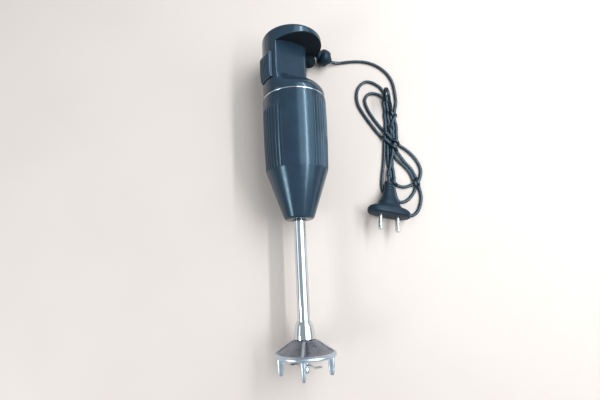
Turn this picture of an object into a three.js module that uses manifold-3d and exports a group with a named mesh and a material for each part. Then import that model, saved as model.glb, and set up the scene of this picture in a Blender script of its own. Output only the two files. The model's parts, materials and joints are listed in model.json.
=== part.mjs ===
// Immersion blender lying on a table, with its mains cord folded beside it.
// Millimetres. +Y runs along the shaft from the guard to the head, +Z is up, the table is z = 0.
import * as THREE from 'three';
import { mergeVertices } from 'three/addons/utils/BufferGeometryUtils.js';
import Module from 'manifold-3d';

const wasm = await Module();
wasm.setup();

// ---- Driving dimensions ------------------------------------------------------------------------
const AXIS_X = 0.8; // the shaft's axis, so that the bare blender's box is centred on x = 0
const AXIS_Z = 33.1; // the housing's widest ring rests on the table
const ROLL = THREE.MathUtils.degToRad(32); // the casing is rolled, so the trigger faces up and left
const GAP = 0.3; // between pieces that touch
const WALL = 2.6; // casing wall

const HEAD_TOP = 170; // distances along the axis
const HEAD_UNDERSIDE = 162.5;
const RING_BOTTOM = 98.3;
const RING_TOP = 99.7;
const EDGE_Y = 20.7; // where the housing's barrel meets its cone
const LIP_BOTTOM = -26.8;
const FERRULE_TOP = -122.7;
const GUARD_TOP = -138.6;
const GUARD_RIM_TOP = -150;
const GUARD_RIM_BOTTOM = -153;
const LEG_TIP = -170;
const BLADE_Y = -161.6;

const BARREL_R = 33.1; // largest radius of the motor housing
const EDGE_R = 31.5; // its radius just above the cone
const RING_R = 32.7;
const HANDLE_R = 32.3;
const TUBE_R = 6;
const DRIVE_SHAFT_R = 2.5;
const SPINDLE_R = 1.6; // the drive shaft's thinner end, which carries the blade
const GUARD_R = 28.8;

const NOSE_R = 9.5; // the column is a wedge with a round nose
const NOSE_X = 6.2;
const COLUMN_EDGE = THREE.MathUtils.degToRad(153); // where its flat cheek meets the round back
const SHOULDER_Y = 103; // the shoulder rises from here to the foot of the column
const FOOT_AT_NOSE = 127;
const FOOT_AT_EDGE = 120.5;

const TRIGGER_HALF_WIDTH = 9.7;
const TRIGGER_TOP = 144.6; // top of the part that shows
const TRIGGER_BOTTOM = 115.5;
const PIVOT = { x: -25.5, y: 148.5 }; // hidden behind the casing wall

const OUTER_SEGMENTS = 48;
const INNER_SEGMENTS = 20;
const SMALL_SEGMENTS = 12;

// ---- Solids ------------------------------------------------------------------------------------

// A closed solid from a three.js geometry: shared corners merged, faces turned outward.
function solid(geometry, matrix) {
  let shape = geometry.clone();
  shape.deleteAttribute('normal');
  shape.deleteAttribute('uv');
  if (matrix) shape.applyMatrix4(matrix);
  shape = mergeVertices(shape, 1e-4);
  const corners = shape.attributes.position.array;
  const faces = [];
  let volume = 0;
  const [a, b, c] = [new THREE.Vector3(), new THREE.Vector3(), new THREE.Vector3()];
  for (let i = 0; i < shape.index.count; i += 3) {
    const [p, q, r] = [0, 1, 2].map((k) => shape.index.getX(i + k));
    if (p === q || q === r || r === p) continue;
    faces.push([p, q, r]);
    a.fromArray(corners, 3 * p);
    b.fromArray(corners, 3 * q);
    c.fromArray(corners, 3 * r);
    volume += a.dot(b.cross(c));
  }
  const ordered = volume < 0 ? faces.map(([p, q, r]) => [p, r, q]) : faces;
  const mesh = new wasm.Mesh({
    numProp: 3,
    vertProperties: new Float32Array(corners),
    triVerts: new Uint32Array(ordered.flat()),
  });
  return new wasm.Manifold(mesh);
}

function geometryOf(manifold) {
  const mesh = manifold.getMesh();
  const geometry = new THREE.BufferGeometry();
  const corners = new Float32Array(mesh.vertProperties);
  geometry.setAttribute('position', new THREE.BufferAttribute(corners, 3));
  geometry.setIndex(new THREE.BufferAttribute(new Uint32Array(mesh.triVerts), 1));
  geometry.computeVertexNormals();
  return geometry;
}

const join = (first, ...rest) => rest.reduce((whole, piece) => whole.add(piece), first);
const cut = (first, ...rest) => rest.reduce((whole, piece) => whole.subtract(piece), first);
const moved = (x, y, z) => new THREE.Matrix4().makeTranslation(x, y, z);
const turnedY = (angle) => new THREE.Matrix4().makeRotationY(angle);

// A solid of revolution about Y. The outline is a list of [radius, y] that closes on itself.
function turned(outline, segments = INNER_SEGMENTS, matrix) {
  const points = outline.map(([r, y]) => new THREE.Vector2(r, y));
  if (outline[0][0] > 0) points.push(points[0].clone());
  return solid(new THREE.LatheGeometry(points, segments), matrix);
}

const tube = (inner, outer, y0, y1, segments) =>
  turned([[inner, y0], [outer, y0], [outer, y1], [inner, y1]], segments);

const rod = (radius, y0, y1, segments) =>
  turned([[0, y0], [radius, y0], [radius, y1], [0, y1]], segments);

// A box given by its lowest and highest corners.
function box(low, high) {
  const size = high.map((value, k) => value - low[k]);
  const middle = high.map((value, k) => (value + low[k]) / 2);
  return solid(new THREE.BoxGeometry(...size), moved(...middle));
}

// A round bar between two points.
function bar(from, to, radius, segments = SMALL_SEGMENTS) {
  const [start, end] = [new THREE.Vector3(...from), new THREE.Vector3(...to)];
  const along = end.clone().sub(start);
  const turn = new THREE.Quaternion().setFromUnitVectors(
    new THREE.Vector3(0, 1, 0), along.clone().normalize());
  const place = new THREE.Matrix4().compose(
    start.add(end).multiplyScalar(0.5), turn, new THREE.Vector3(1, 1, 1));
  return solid(new THREE.CylinderGeometry(radius, radius, along.length(), segments), place);
}

// A turned outline whose own axis runs from one point towards another.
function turnedAlong(outline, from, to, segments = INNER_SEGMENTS) {
  const start = new THREE.Vector3(...from);
  const along = new THREE.Vector3(...to).sub(start).normalize();
  const turn = new THREE.Quaternion().setFromUnitVectors(new THREE.Vector3(0, 1, 0), along);
  return turned(outline, segments, new THREE.Matrix4().compose(start, turn, new THREE.Vector3(1, 1, 1)));
}

// A flat outline in x and y, drawn out along z.
function plate(outline, z0, z1, matrix) {
  const shape = new THREE.Shape(outline.map(([x, y]) => new THREE.Vector2(x, y)));
  const geometry = new THREE.ExtrudeGeometry(shape, { depth: z1 - z0, bevelEnabled: false });
  const place = moved(0, 0, z0);
  return solid(geometry, matrix ? matrix.clone().multiply(place) : place);
}

// A solid whose cross-section changes along Y. radius(angle, y) is its reach at each angle.
function polarLoft(heights, radius, segments = OUTER_SEGMENTS) {
  const corners = [0, heights[0], 0, 0, heights.at(-1), 0];
  const faces = [];
  const at = (level, k) => 2 + level * segments + (k % segments);
  heights.forEach((y, level) => {
    for (let k = 0; k < segments; k++) {
      const angle = (2 * Math.PI * k) / segments;
      const reach = radius(angle, y);
      corners.push(reach * Math.cos(angle), y, reach * Math.sin(angle));
      if (level === 0) {
        faces.push(0, at(0, k), at(0, k + 1));
        continue;
      }
      faces.push(at(level - 1, k), at(level, k), at(level, k + 1));
      faces.push(at(level - 1, k), at(level, k + 1), at(level - 1, k + 1));
    }
  });
  const last = heights.length - 1;
  for (let k = 0; k < segments; k++) faces.push(1, at(last, k + 1), at(last, k));
  const geometry = new THREE.BufferGeometry();
  geometry.setAttribute('position', new THREE.Float32BufferAttribute(corners, 3));
  geometry.setIndex(faces);
  return solid(geometry);
}

// ---- Finishes ----------------------------------------------------------------------------------
const finish = (color, roughness, metalness) =>
  new THREE.MeshStandardMaterial({ color, roughness, metalness });

const finishes = {
  gloss_black: () => finish('#1b2126', 0.28, 0),
  soft_black: () => finish('#15181a', 0.6, 0),
  chrome: () => finish('#d5dade', 0.12, 1),
  aluminium: () => finish('#a9adb3', 0.3, 1),
  steel: () => finish('#9aa0a5', 0.35, 1),
  nickel: () => finish('#c9cbcc', 0.25, 1),
  copper: () => finish('#a8552c', 0.4, 1),
  lamination: () => finish('#5e6264', 0.5, 1),
  carbon: () => finish('#242424', 0.8, 0),
  inner_plastic: () => finish('#e2dfd6', 0.6, 0),
  bronze: () => finish('#9c7440', 0.45, 1),
};

const model = new THREE.Group();
const blender = new THREE.Group(); // the shaft's axis is this group's Y axis
blender.position.set(AXIS_X, 0, AXIS_Z);
model.add(blender);
const casing = new THREE.Group(); // x runs from the trigger to the finger notch
casing.rotation.y = ROLL;
blender.add(casing);

function place(group, name, shape, look) {
  const mesh = new THREE.Mesh(geometryOf(shape), finishes[look]());
  mesh.name = name;
  group.add(mesh);
  return mesh;
}

// ---- Handle ------------------------------------------------------------------------------------

// How far the column reaches from the axis at an angle: round back, flat cheeks, round nose.
function columnReach(angle, inset) {
  const turn = Math.abs(Math.atan2(Math.sin(angle), Math.cos(angle)));
  const back = HANDLE_R - inset;
  if (turn >= COLUMN_EDGE - 1e-6) return back;
  const edge = { x: back * Math.cos(COLUMN_EDGE), z: back * Math.sin(COLUMN_EDGE) - inset * 0.6 };
  const nose = NOSE_R - inset;
  // The cheek is the line from the edge that touches the nose circle.
  const span = Math.hypot(NOSE_X - edge.x, edge.z);
  const lean = Math.asin(edge.z / span) - Math.asin(nose / span);
  const normal = { x: Math.sin(lean), z: Math.cos(lean) };
  const cheek = (edge.x * normal.x + edge.z * normal.z) /
    Math.max(1e-6, Math.cos(turn) * normal.x + Math.sin(turn) * normal.z);
  const chord = nose ** 2 - (NOSE_X * Math.sin(turn)) ** 2;
  const round = NOSE_X * Math.cos(turn) + Math.sqrt(Math.max(0, chord));
  const touch = Math.atan2(nose * normal.z, NOSE_X + nose * normal.x);
  return turn < touch ? round : Math.min(cheek, back);
}

// The shoulder bulges out of the column's foot to the full round casing.
function handleReach(angle, y, inset) {
  const column = columnReach(angle, inset);
  const turn = Math.abs(Math.atan2(Math.sin(angle), Math.cos(angle)));
  const foot = THREE.MathUtils.lerp(FOOT_AT_NOSE, FOOT_AT_EDGE, Math.min(1, turn / COLUMN_EDGE));
  const rise = THREE.MathUtils.clamp((y - SHOULDER_Y) / (foot - SHOULDER_Y), 0, 1);
  return column + (HANDLE_R - inset - column) * (1 - rise ** 1.8);
}

// The notch's roof: flat under the head, with a cove down to the column's edge.
const roofY = (x) => HEAD_UNDERSIDE - 8.5 * Math.max(0, (8 - x) / 36) ** 1.7;

function headDisc(inset) {
  const radius = HANDLE_R - inset;
  const top = HEAD_TOP - inset;
  const disc = turned([
    [0, 140], [radius, 140], [radius, top - 3.2], [radius - 0.5, top - 1.6],
    [radius - 1.6, top - 0.5], [radius - 3.2, top], [0, top],
  ], OUTER_SEGMENTS);
  const roof = [];
  for (let x = -36; x <= 36; x += 4) roof.push([x, roofY(x) + inset]);
  return disc.intersect(plate([...roof, [36, 180], [-36, 180]], -36, 36));
}

function handleShell() {
  const rise = [103, 107, 111, 115, 118.5, 121.5, 124.5, 127, 160];
  const outer = join(
    polarLoft([RING_TOP + GAP, ...rise], (angle, y) => handleReach(angle, y, 0)),
    headDisc(0),
    outletBoss(),
  );
  const hollow = join(
    polarLoft([RING_TOP - 1, ...rise.slice(0, -1).map((y) => y - 1), 161],
      (angle, y) => handleReach(angle, y, WALL)),
    headDisc(WALL),
  );
  const posts = screwPlaces().map(([x, y]) => bar([x, y, -34], [x, y, 34], 4.8));
  const shell = join(cut(outer, hollow), ...posts.map((post) => post.intersect(outer)));
  const window = box(
    [-40, TRIGGER_BOTTOM - 1.1, -TRIGGER_HALF_WIDTH - 0.6],
    [-24, TRIGGER_TOP + 0.7, TRIGGER_HALF_WIDTH + 0.6]);
  const lugs = [1, -1].map((side) => {
    const [z0, z1] = [10.6 * side, 13.6 * side].sort((p, q) => p - q);
    return box([-30.5, PIVOT.y - 4, z0], [PIVOT.x + 3.5, PIVOT.y + 3.5, z1]);
  });
  const hingeBore = bar([PIVOT.x, PIVOT.y, -13.2], [PIVOT.x, PIVOT.y, 13.2], 1.5 + GAP);
  const cordBore = bar([15, 165.2, 0], [36, 163.5, 0], 2.6);
  return cut(join(shell, ...lugs), window, hingeBore, cordBore);
}

// The boss under the rim of the head that the cord passes through.
function outletBoss() {
  const lump = solid(new THREE.SphereGeometry(1, 10, 7));
  return lump.scale([8.4, 8.2, 7.4]).translate([26.8, 160, -7.9]);
}

const screwPlaces = () => [[-14, 158.5], [9, 139], [4, 112.5], [-20, 106.5]];

function addHandle() {
  const screwHoles = screwPlaces().map(([x, y]) => join(
    bar([x, y, -34], [x, y, 7], 1.3 + GAP),
    bar([x, y, -34], [x, y, -6.5], 3.4),
  ));
  const shell = cut(handleShell(), ...screwHoles);
  const half = GAP / 2;
  place(casing, 'handle_front', shell.intersect(box([-50, 90, half], [50, 180, 50])), 'gloss_black');
  place(casing, 'handle_back', shell.intersect(box([-50, 90, -50], [50, 180, -half])), 'gloss_black');
  screwPlaces().forEach(([x, y], k) => {
    const outline = [[0, 0], [2.8, 0], [2.8, 1.7], [1.3, 1.7], [1.3, 14.6], [0, 14.6]];
    const screw = turnedAlong(outline, [x, y, -8.5], [x, y, 0], SMALL_SEGMENTS);
    place(casing, `handle_screw_${k + 1}`, screw, 'steel');
  });
}

// ---- Trigger and switch ------------------------------------------------------------------------
function addTrigger() {
  // Outlines in x and y: the swelling paddle, and the hinge boss that carries it behind the wall.
  const outline = [
    [-33.4, TRIGGER_TOP], [-35, 142.4], [-35.8, 138], [-36, 132], [-35.4, 126], [-34.8, 120],
    [-34, TRIGGER_BOTTOM + 1.2], [-33, TRIGGER_BOTTOM], [-29.5, TRIGGER_BOTTOM], [-29, 137],
    [-25, 140], [-25, TRIGGER_TOP],
  ];
  const boss = [
    [-29.3, 141], [-25.2, 139.8], [-22.2, 144], [-22.2, 151], [-23, 152], [-27.6, 152], [-29.3, 149.4],
  ];
  const within = (reach) => rod(reach, 100, 160, OUTER_SEGMENTS);
  const across = [-TRIGGER_HALF_WIDTH, TRIGGER_HALF_WIDTH];
  const paddle = join(
    plate(outline, ...across).intersect(within(36.4)),
    plate(boss, ...across).intersect(within(29.3)),
  );
  const pinHole = bar([PIVOT.x, PIVOT.y, -12], [PIVOT.x, PIVOT.y, 12], 1.5 + 0.1);
  const tongue = box([-30, 128, -3], [-22, 132, 3]);
  const grooves = [-6.6, -3.3, 0, 3.3, 6.6].map((z) =>
    bar([-36.3, TRIGGER_BOTTOM - 2, z], [-37.1, 142, z], 1.25, 6));
  const springSlot = box([PIVOT.x - 3.1, PIVOT.y - 3.4, -2.2], [-22, PIVOT.y + 5, 2.2]);
  place(casing, 'trigger', cut(join(paddle, tongue), pinHole, springSlot, ...grooves), 'gloss_black');

  place(casing, 'trigger_pin', bar([PIVOT.x, PIVOT.y, -13], [PIVOT.x, PIVOT.y, 13], 1.5), 'steel');

  // A small torsion spring: three turns on the pin, in the slot through the hinge boss.
  const turns = turnedAlong(
    [[1.5 + GAP, 0], [2.8, 0], [2.8, 3.4], [1.5 + GAP, 3.4]],
    [PIVOT.x, PIVOT.y, -1.7], [PIVOT.x, PIVOT.y, 0], SMALL_SEGMENTS);
  place(casing, 'trigger_spring', turns, 'steel');

  place(casing, 'switch_plunger', bar([-21.7, 130, 0], [-16.5, 130, 0], 1.6), 'inner_plastic');
  const body = cut(
    box([-19, 119, -5], [-9, 141, 5]),
    bar([-21, 130, 0], [-14, 130, 0], 1.6 + GAP),
  );
  place(casing, 'microswitch', body, 'soft_black');
  place(casing, 'terminal_block', box([-7, 118, -6], [3, 132, 6]), 'inner_plastic');
}

// ---- Trim ring and motor housing ---------------------------------------------------------------
function addTrimRing() {
  const profile = [
    [RING_R - 3.2, RING_BOTTOM], [RING_R, RING_BOTTOM], [RING_R, RING_TOP], [RING_R - 3.2, RING_TOP],
  ];
  place(casing, 'trim_ring', turned(profile, OUTER_SEGMENTS), 'chrome');
}

function motorHousing() {
  const outer = [
    [LIP_BOTTOM, 13.6], [LIP_BOTTOM + 1.4, 15], [EDGE_Y, 31], [EDGE_Y + 2.4, EDGE_R], [30, 31.8],
    [49, 32.6], [71, 33], [92, BARREL_R], [RING_BOTTOM - GAP, 32.9],
  ];
  const inner = [
    [RING_BOTTOM - GAP, 32.9 - WALL], [EDGE_Y + 1, 31.1 - WALL], [-17, 14.6], [-17, TUBE_R + GAP],
    [LIP_BOTTOM, TUBE_R + GAP],
  ];
  let body = turned([...outer, ...inner].map(([y, r]) => [r, y]), OUTER_SEGMENTS);
  const slant = Math.atan2(BARREL_R - EDGE_R, 92 - EDGE_Y);
  for (const flute of flutes()) {
    const length = flute.top - flute.bottom - 2 * FLUTE.radius;
    const middle = (flute.top + flute.bottom) / 2;
    const reach = 32.6 + (middle - 52) * Math.tan(slant) + FLUTE.radius - FLUTE.depth;
    const matrix = turnedY(-flute.angle)
      .multiply(moved(reach, middle, 0))
      .multiply(new THREE.Matrix4().makeRotationZ(-slant));
    const groove = solid(new THREE.CapsuleGeometry(FLUTE.radius, length, 1, 8), matrix);
    body = body.subtract(groove);
  }
  return body;
}

// Flutes run down both sides; the group under the trigger is the smaller one.
const FLUTE = { radius: 1.35, depth: 0.9, pitch: THREE.MathUtils.degToRad(6.6) };

function flutes() {
  const list = [];
  for (let k = -13; k <= 13; k++) {
    list.push({ angle: k * FLUTE.pitch, top: 94.6, bottom: EDGE_Y });
  }
  for (let k = -4.5; k <= 4.5; k++) {
    list.push({ angle: Math.PI + k * FLUTE.pitch, top: 85, bottom: EDGE_Y });
  }
  return list;
}

// ---- Motor -------------------------------------------------------------------------------------
const STACK = { bottom: 43, top: 71, radius: 26, bore: 14.6 };
const FIELD_SCREW_X = 22.8;

function fieldCore() {
  const slots = [-1, 1].flatMap((sx) => [-1, 1].map((sz) => {
    const xs = [sx * 9, sx * 19.5].sort((p, q) => p - q);
    const zs = [sz * 2, sz * 11].sort((p, q) => p - q);
    return box([xs[0], STACK.bottom - 1, zs[0]], [xs[1], STACK.top + 1, zs[1]]);
  }));
  const bores = [-FIELD_SCREW_X, FIELD_SCREW_X].map((x) =>
    bar([x, STACK.bottom - 1, 0], [x, STACK.top + 1, 0], 1.3 + GAP));
  return cut(tube(STACK.bore, STACK.radius, STACK.bottom, STACK.top, 32), ...slots, ...bores);
}

// One field coil: two legs through the stack, joined by saddles above and below it.
function fieldCoil(side) {
  const block = (x0, x1, y0, y1, z0, z1) => {
    const zs = [side * z0, side * z1].sort((p, q) => p - q);
    return box([x0, y0, zs[0]], [x1, y1, zs[1]]);
  };
  const [low, high] = [STACK.bottom - 6.5, STACK.top + 6.5];
  const legs = [[-18.7, -14.9], [14.9, 18.7]].map(([x0, x1]) => block(x0, x1, low, high, 2.6, 10.4));
  const risers = [[-18.7, -14.9], [14.9, 18.7]].flatMap(([x0, x1]) => [
    block(x0, x1, low, STACK.bottom - 0.5, 2.6, 19),
    block(x0, x1, STACK.top + 0.5, high, 2.6, 19),
  ]);
  const saddles = [
    block(-18.7, 18.7, low, STACK.bottom - 0.5, 15, 19),
    block(-18.7, 18.7, STACK.top + 0.5, high, 15, 19),
  ];
  return join(legs[0], legs[1], ...risers, ...saddles);
}

function addField() {
  place(casing, 'field_core', fieldCore(), 'lamination');
  place(casing, 'field_coil_front', fieldCoil(1), 'copper');
  place(casing, 'field_coil_back', fieldCoil(-1), 'copper');
  [-FIELD_SCREW_X, FIELD_SCREW_X].forEach((x, k) => {
    const outline = [[0, 0], [1.3, 0], [1.3, 33.4], [2.8, 33.4], [2.8, 35.6], [0, 35.6]];
    const screw = turnedAlong(outline, [x, 38, 0], [x, 80, 0], SMALL_SEGMENTS);
    place(casing, `field_screw_${k + 1}`, screw, 'steel');
  });
}

function addRotor() {
  const slots = Array.from({ length: 12 }, (_, k) => {
    const reach = turnedY((k * Math.PI) / 6);
    return solid(new THREE.BoxGeometry(4, 40, 1.6), reach.clone().multiply(moved(13.6, 57, 0)));
  });
  place(blender, 'armature_core', cut(tube(4.3, 14, 44, 70, 24), ...slots), 'lamination');
  const bulge = (y0, y1) => turned(
    [[4.3, y0], [9, y0], [12.2, (y0 + y1) / 2], [11, y1], [4.3, y1]], INNER_SEGMENTS);
  place(blender, 'armature_winding_lower', bulge(36.5, 43.7), 'copper');
  place(blender, 'armature_winding_upper', bulge(77.5, 70.3), 'copper');
  place(blender, 'commutator', turned(
    [[4.3, 79], [10, 79], [10, 90], [11.2, 90], [11.2, 91.4], [4.3, 91.4]], 24), 'copper');
  place(blender, 'motor_shaft', turned(
    [[0, 4], [3, 4], [3, 22.2], [4, 22.2], [4, 93.8], [3, 93.8], [3, 101], [0, 101]], 16), 'steel');

  const hub = tube(4.3, 8, 25, 33, INNER_SEGMENTS);
  const disc = tube(7.5, 24, 25, 26.4, 24);
  const vanes = Array.from({ length: 9 }, (_, k) => {
    const turn = turnedY((2 * Math.PI * k) / 9).multiply(moved(15.4, 29.3, 0));
    return solid(new THREE.BoxGeometry(15.6, 6.2, 1.4), turn);
  });
  place(blender, 'cooling_fan', join(hub, disc, ...vanes), 'inner_plastic');
}

function addBearings() {
  // The lower bearing stands in a three-armed bridge under the fan, the upper one above the brushes.
  const ballBearing = (name, y0) => {
    place(blender, name, tube(3.3, 7.7, y0, y0 + 5, INNER_SEGMENTS), 'steel');
  };
  ballBearing('lower_bearing', 16.5);
  ballBearing('upper_bearing', 94.6);
  const bridge = (y0, y1, reach, arms) => {
    const spokes = arms.map((angle) => {
      const turn = turnedY(angle).multiply(moved((reach + 8.5) / 2, (y0 + y1) / 2, 0));
      return solid(new THREE.BoxGeometry(reach - 8.5, y1 - y0, 9), turn);
    });
    return join(tube(8, 11, y0, y1, INNER_SEGMENTS), ...spokes);
  };
  const four = [0.25, 0.75, 1.25, 1.75].map((k) => k * Math.PI);
  place(casing, 'lower_bearing_bracket', bridge(16.5, 21.5, 26, four), 'aluminium');
  place(casing, 'upper_bearing_bracket', bridge(94.6, 97.6, 29.4, four), 'aluminium');
}

function addBrushes() {
  for (const [word, side] of [['left', -1], ['right', 1]]) {
    const span = (x0, x1) => [side * x0, side * x1].sort((p, q) => p - q);
    const [b0, b1] = span(10.3, 18.5);
    place(casing, `carbon_brush_${word}`, box([b0, 82, -2.5], [b1, 88, 2.5]), 'carbon');
    const [s0, s1] = span(18.8, 24.4);
    place(casing, `brush_spring_${word}`, box([s0, 83.6, -1.4], [s1, 86.4, 1.4]), 'steel');
    const [h0, h1] = span(12.6, 26);
    const [c0, c1] = span(11, 24.7);
    place(casing, `brush_holder_${word}`, cut(
      box([h0, 80.4, -4.2], [h1, 89.6, 4.2]), box([c0, 81.7, -2.8], [c1, 88.3, 2.8]),
    ), 'bronze');
  }
}

// ---- Drive and shaft tube ----------------------------------------------------------------------
function addDrive() {
  place(blender, 'drive_coupling', cut(
    rod(7, -6, 14.5, INNER_SEGMENTS),
    rod(3 + GAP, 3.7, 16, 16),
    rod(DRIVE_SHAFT_R + GAP, -7, 3.4, 16),
  ), 'steel');
  place(blender, 'drive_shaft', turned([
    [0, BLADE_Y - 5.2], [SPINDLE_R, BLADE_Y - 5.2], [SPINDLE_R, -151.8], [DRIVE_SHAFT_R, -151.8],
    [DRIVE_SHAFT_R, 3], [0, 3],
  ], 16), 'steel');
  place(blender, 'shaft_tube', tube(TUBE_R - 1, TUBE_R, GUARD_TOP - 8, -12, 32), 'chrome');
  place(blender, 'tube_flange', tube(TUBE_R + GAP, 13.2, -16.7, -13, 24), 'steel');
  place(blender, 'upper_bush', tube(DRIVE_SHAFT_R + 0.1, TUBE_R - 1 - GAP, -24, -13, 16), 'bronze');
  place(blender, 'lower_bush', tube(DRIVE_SHAFT_R + 0.1, TUBE_R - 1 - GAP, -144, -130, 16), 'bronze');
  place(blender, 'shaft_seal', turned([
    [DRIVE_SHAFT_R + 0.15, -151.5], [TUBE_R - GAP, -151.5], [TUBE_R - GAP, -147.2],
    [DRIVE_SHAFT_R + 1.2, -147.2],
  ], 16), 'soft_black');
}

// ---- Ferrule, guard and blade ------------------------------------------------------------------
const GUARD_TURN = THREE.MathUtils.degToRad(5.7); // the legs sit a little off the upright

function addFerrule() {
  place(blender, 'ferrule', turned([
    [TUBE_R + GAP, FERRULE_TOP], [6.9, FERRULE_TOP], [8.4, FERRULE_TOP - 3.2], [8.6, -127.4],
    [9.7, -134.4], [9.9, GUARD_TOP + GAP], [TUBE_R + GAP, GUARD_TOP + GAP],
  ], 32), 'chrome');
}

function guardBody() {
  const bell = turned([
    [TUBE_R + GAP, GUARD_TOP], [10.2, GUARD_TOP], [12.1, -139.8], [17, -143.7], [23.2, -147.8],
    [27.4, GUARD_RIM_TOP + 0.5], [GUARD_R, GUARD_RIM_TOP - 0.6], [GUARD_R, GUARD_RIM_BOTTOM + 0.5],
    [GUARD_R - 0.6, GUARD_RIM_BOTTOM], [26, GUARD_RIM_BOTTOM], [24, -151.2], [16, -146.2],
    [10.4, -143.6], [9, -145], [9, -153], [TUBE_R + GAP, -153],
  ], 32);
  const legs = Array.from({ length: 4 }, (_, k) => guardLeg(turnedY((k * Math.PI) / 2)));
  const rib = solid(new THREE.CylinderGeometry(1, 1.25, 17.5, 8),
    new THREE.Matrix4().makeRotationZ(Math.PI / 2 - Math.atan2(10.6, 15.5)));
  const ribs = [0, 1, 2, 3].map((k) => solid(geometryOf(rib.translate([18.9, -145, 0])),
    turnedY((k * Math.PI) / 2)));
  return join(bell, ...ribs, ...legs);
}

// A leg tapers downward and ends in a round tip.
function guardLeg(turn) {
  const stations = [
    [-150.6, 20.2, 26.8, 2.4], [-158, 20.2, 26.4, 2.2], [-166, 20.7, 25.9, 1.8],
    [LEG_TIP + 1.2, 21.2, 25.4, 1.5], [LEG_TIP, 22.2, 24.6, 0.9],
  ];
  const heights = stations.map(([y]) => y).reverse();
  const sections = new Map(stations.map(([y, inner, outer, half]) => [y, { inner, outer, half }]));
  const leg = polarLoft(heights, (angle, y) => {
    const { inner, outer, half } = sections.get(y);
    const wide = (outer - inner) / 2;
    return ((Math.cos(angle) / wide) ** 4 + (Math.sin(angle) / half) ** 4) ** -0.25;
  }, 12);
  return solid(geometryOf(leg.translate([23.3, 0, 0])), turn);
}

function addGuard() {
  const guard = solid(geometryOf(guardBody()), turnedY(-Math.PI / 2 - GUARD_TURN));
  place(blender, 'blade_guard', guard, 'aluminium');
}

function addBlade() {
  // Two wings, one cranked up and one cranked down, on a flat middle.
  const outline = [
    [-4.9, -0.7], [4.5, -0.7], [9, -3.8], [16.5, -3.8], [16.5, -2.6], [9.6, -2.6], [4.9, 0.7],
    [-4.5, 0.7], [-9, 3.8], [-16.5, 3.8], [-16.5, 2.6], [-9.6, 2.6],
  ];
  const wings = plate(outline, -3.4, 3.4, moved(0, BLADE_Y, 0));
  const blade = cut(wings, rod(SPINDLE_R + GAP, BLADE_Y - 4, BLADE_Y + 4, 16));
  const turn = turnedY(THREE.MathUtils.degToRad(30));
  place(blender, 'blade', solid(geometryOf(blade), turn), 'steel');
  place(blender, 'blade_spacer', tube(SPINDLE_R + GAP, 3.2, BLADE_Y + 1, -152.1, 16), 'steel');
  const nut = turned([
    [0, BLADE_Y - 6.4], [3, BLADE_Y - 6.4], [3.7, BLADE_Y - 5.6], [3.7, BLADE_Y - 1], [0, BLADE_Y - 1],
  ], 16);
  const thread = rod(SPINDLE_R + GAP, BLADE_Y - 5.5, BLADE_Y, 16);
  place(blender, 'blade_nut', cut(nut, thread), 'chrome');
}

// ---- Strain relief, cord and plug --------------------------------------------------------------
const CORD_R = 1.75;
const RELIEF_START = [27.8, 165.4, -17.4]; // in the blender group's frame
const RELIEF_END = [43.6, 163, -27.4];

function addStrainRelief() {
  const outline = [
    [CORD_R + GAP, 0.8], [3.9, 0.8], [3.6, 3.6], [6.8, 4.4], [8.9, 6.6], [9.3, 9.5], [9.1, 13],
    [8.2, 14.6], [6.6, 14.8], [6.4, 16.2], [4.6, 17], [3.4, 19.6], [CORD_R + GAP, 19.6],
  ];
  const sleeve = turnedAlong(outline, RELIEF_START, RELIEF_END, INNER_SEGMENTS);
  place(blender, 'strain_relief', sleeve, 'soft_black');
}

// A bar inside the column that two screws draw down on the cord.
function addCordClamp() {
  const across = [-4.6, 4.6];
  const holes = across.map((z) => bar([-3, 146, z], [-3, 152, z], 1 + GAP));
  place(casing, 'cord_clamp', cut(box([-9, 148.5, -6.8], [3, 150.8, 6.8]), ...holes), 'inner_plastic');
  across.forEach((z, k) => {
    const outline = [[0, 0], [1, 0], [1, 6], [1.9, 6], [1.9, 7.4], [0, 7.4]];
    const screw = turnedAlong(outline, [-3, 145, z], [-3, 155, z], SMALL_SEGMENTS);
    place(casing, `clamp_screw_${k + 1}`, screw, 'steel');
  });
}

// The lead from the strain relief to the bundle, chosen by hand: x, y, z.
const LEAD = [
  [47.1, 162, 4.4], [52, 161.9, 2.7], [59.8, 162.6, 2.1], [67.6, 163.3, 2.1], [76.4, 163.4, 2.1],
  [85.2, 162.4, 2.1], [94.1, 159.6, 2.1], [102.1, 154.9, 2.1], [109.1, 148.2, 2.1], [113.8, 140.8, 2.1],
  [116.5, 133, 2.1], [117.5, 125, 2.1],
];

// The bundle's outer shape: two loops above the crossing, the lobes below it.
const BUNDLE = [
  [117.7, 124.4], [120.6, 124], [120, 112], [115.5, 97], [113, 82], [113, 68], [121, 58], [131, 48],
  [139, 38], [140.6, 27], [137.6, 14], [137.6, 0], [137, -11], [133, -20], [125, -27.5],
  [121.6, -25.5], [121.3, -15], [115, -9], [110.5, -6], [108, 1], [107, 8], [106, 19], [89.4, 19],
  [90, 30], [91, 45], [90.5, 64], [83, 76], [75.6, 92], [71.1, 108], [70.6, 122], [74.6, 133],
  [82, 139.5], [90, 140.5], [100, 136], [107, 131.5], [112.6, 124.7],
];
const BUNDLE_HEIGHT = 9.5;

function addCord() {
  const route = new THREE.CatmullRomCurve3(LEAD.map((p) => new THREE.Vector3(...p)), false, 'centripetal');
  const ring = new THREE.Shape();
  ring.absarc(0, 0, CORD_R, 0, 2 * Math.PI);
  const circle = new THREE.Shape(ring.getPoints(4).slice(0, -1));
  const cord = new THREE.ExtrudeGeometry(circle, { steps: 24, extrudePath: route, bevelEnabled: false });
  place(model, 'power_cord', solid(cord), 'soft_black');
  place(model, 'cord_hank', plate(BUNDLE, 0, BUNDLE_HEIGHT), 'soft_black');
}

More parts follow.
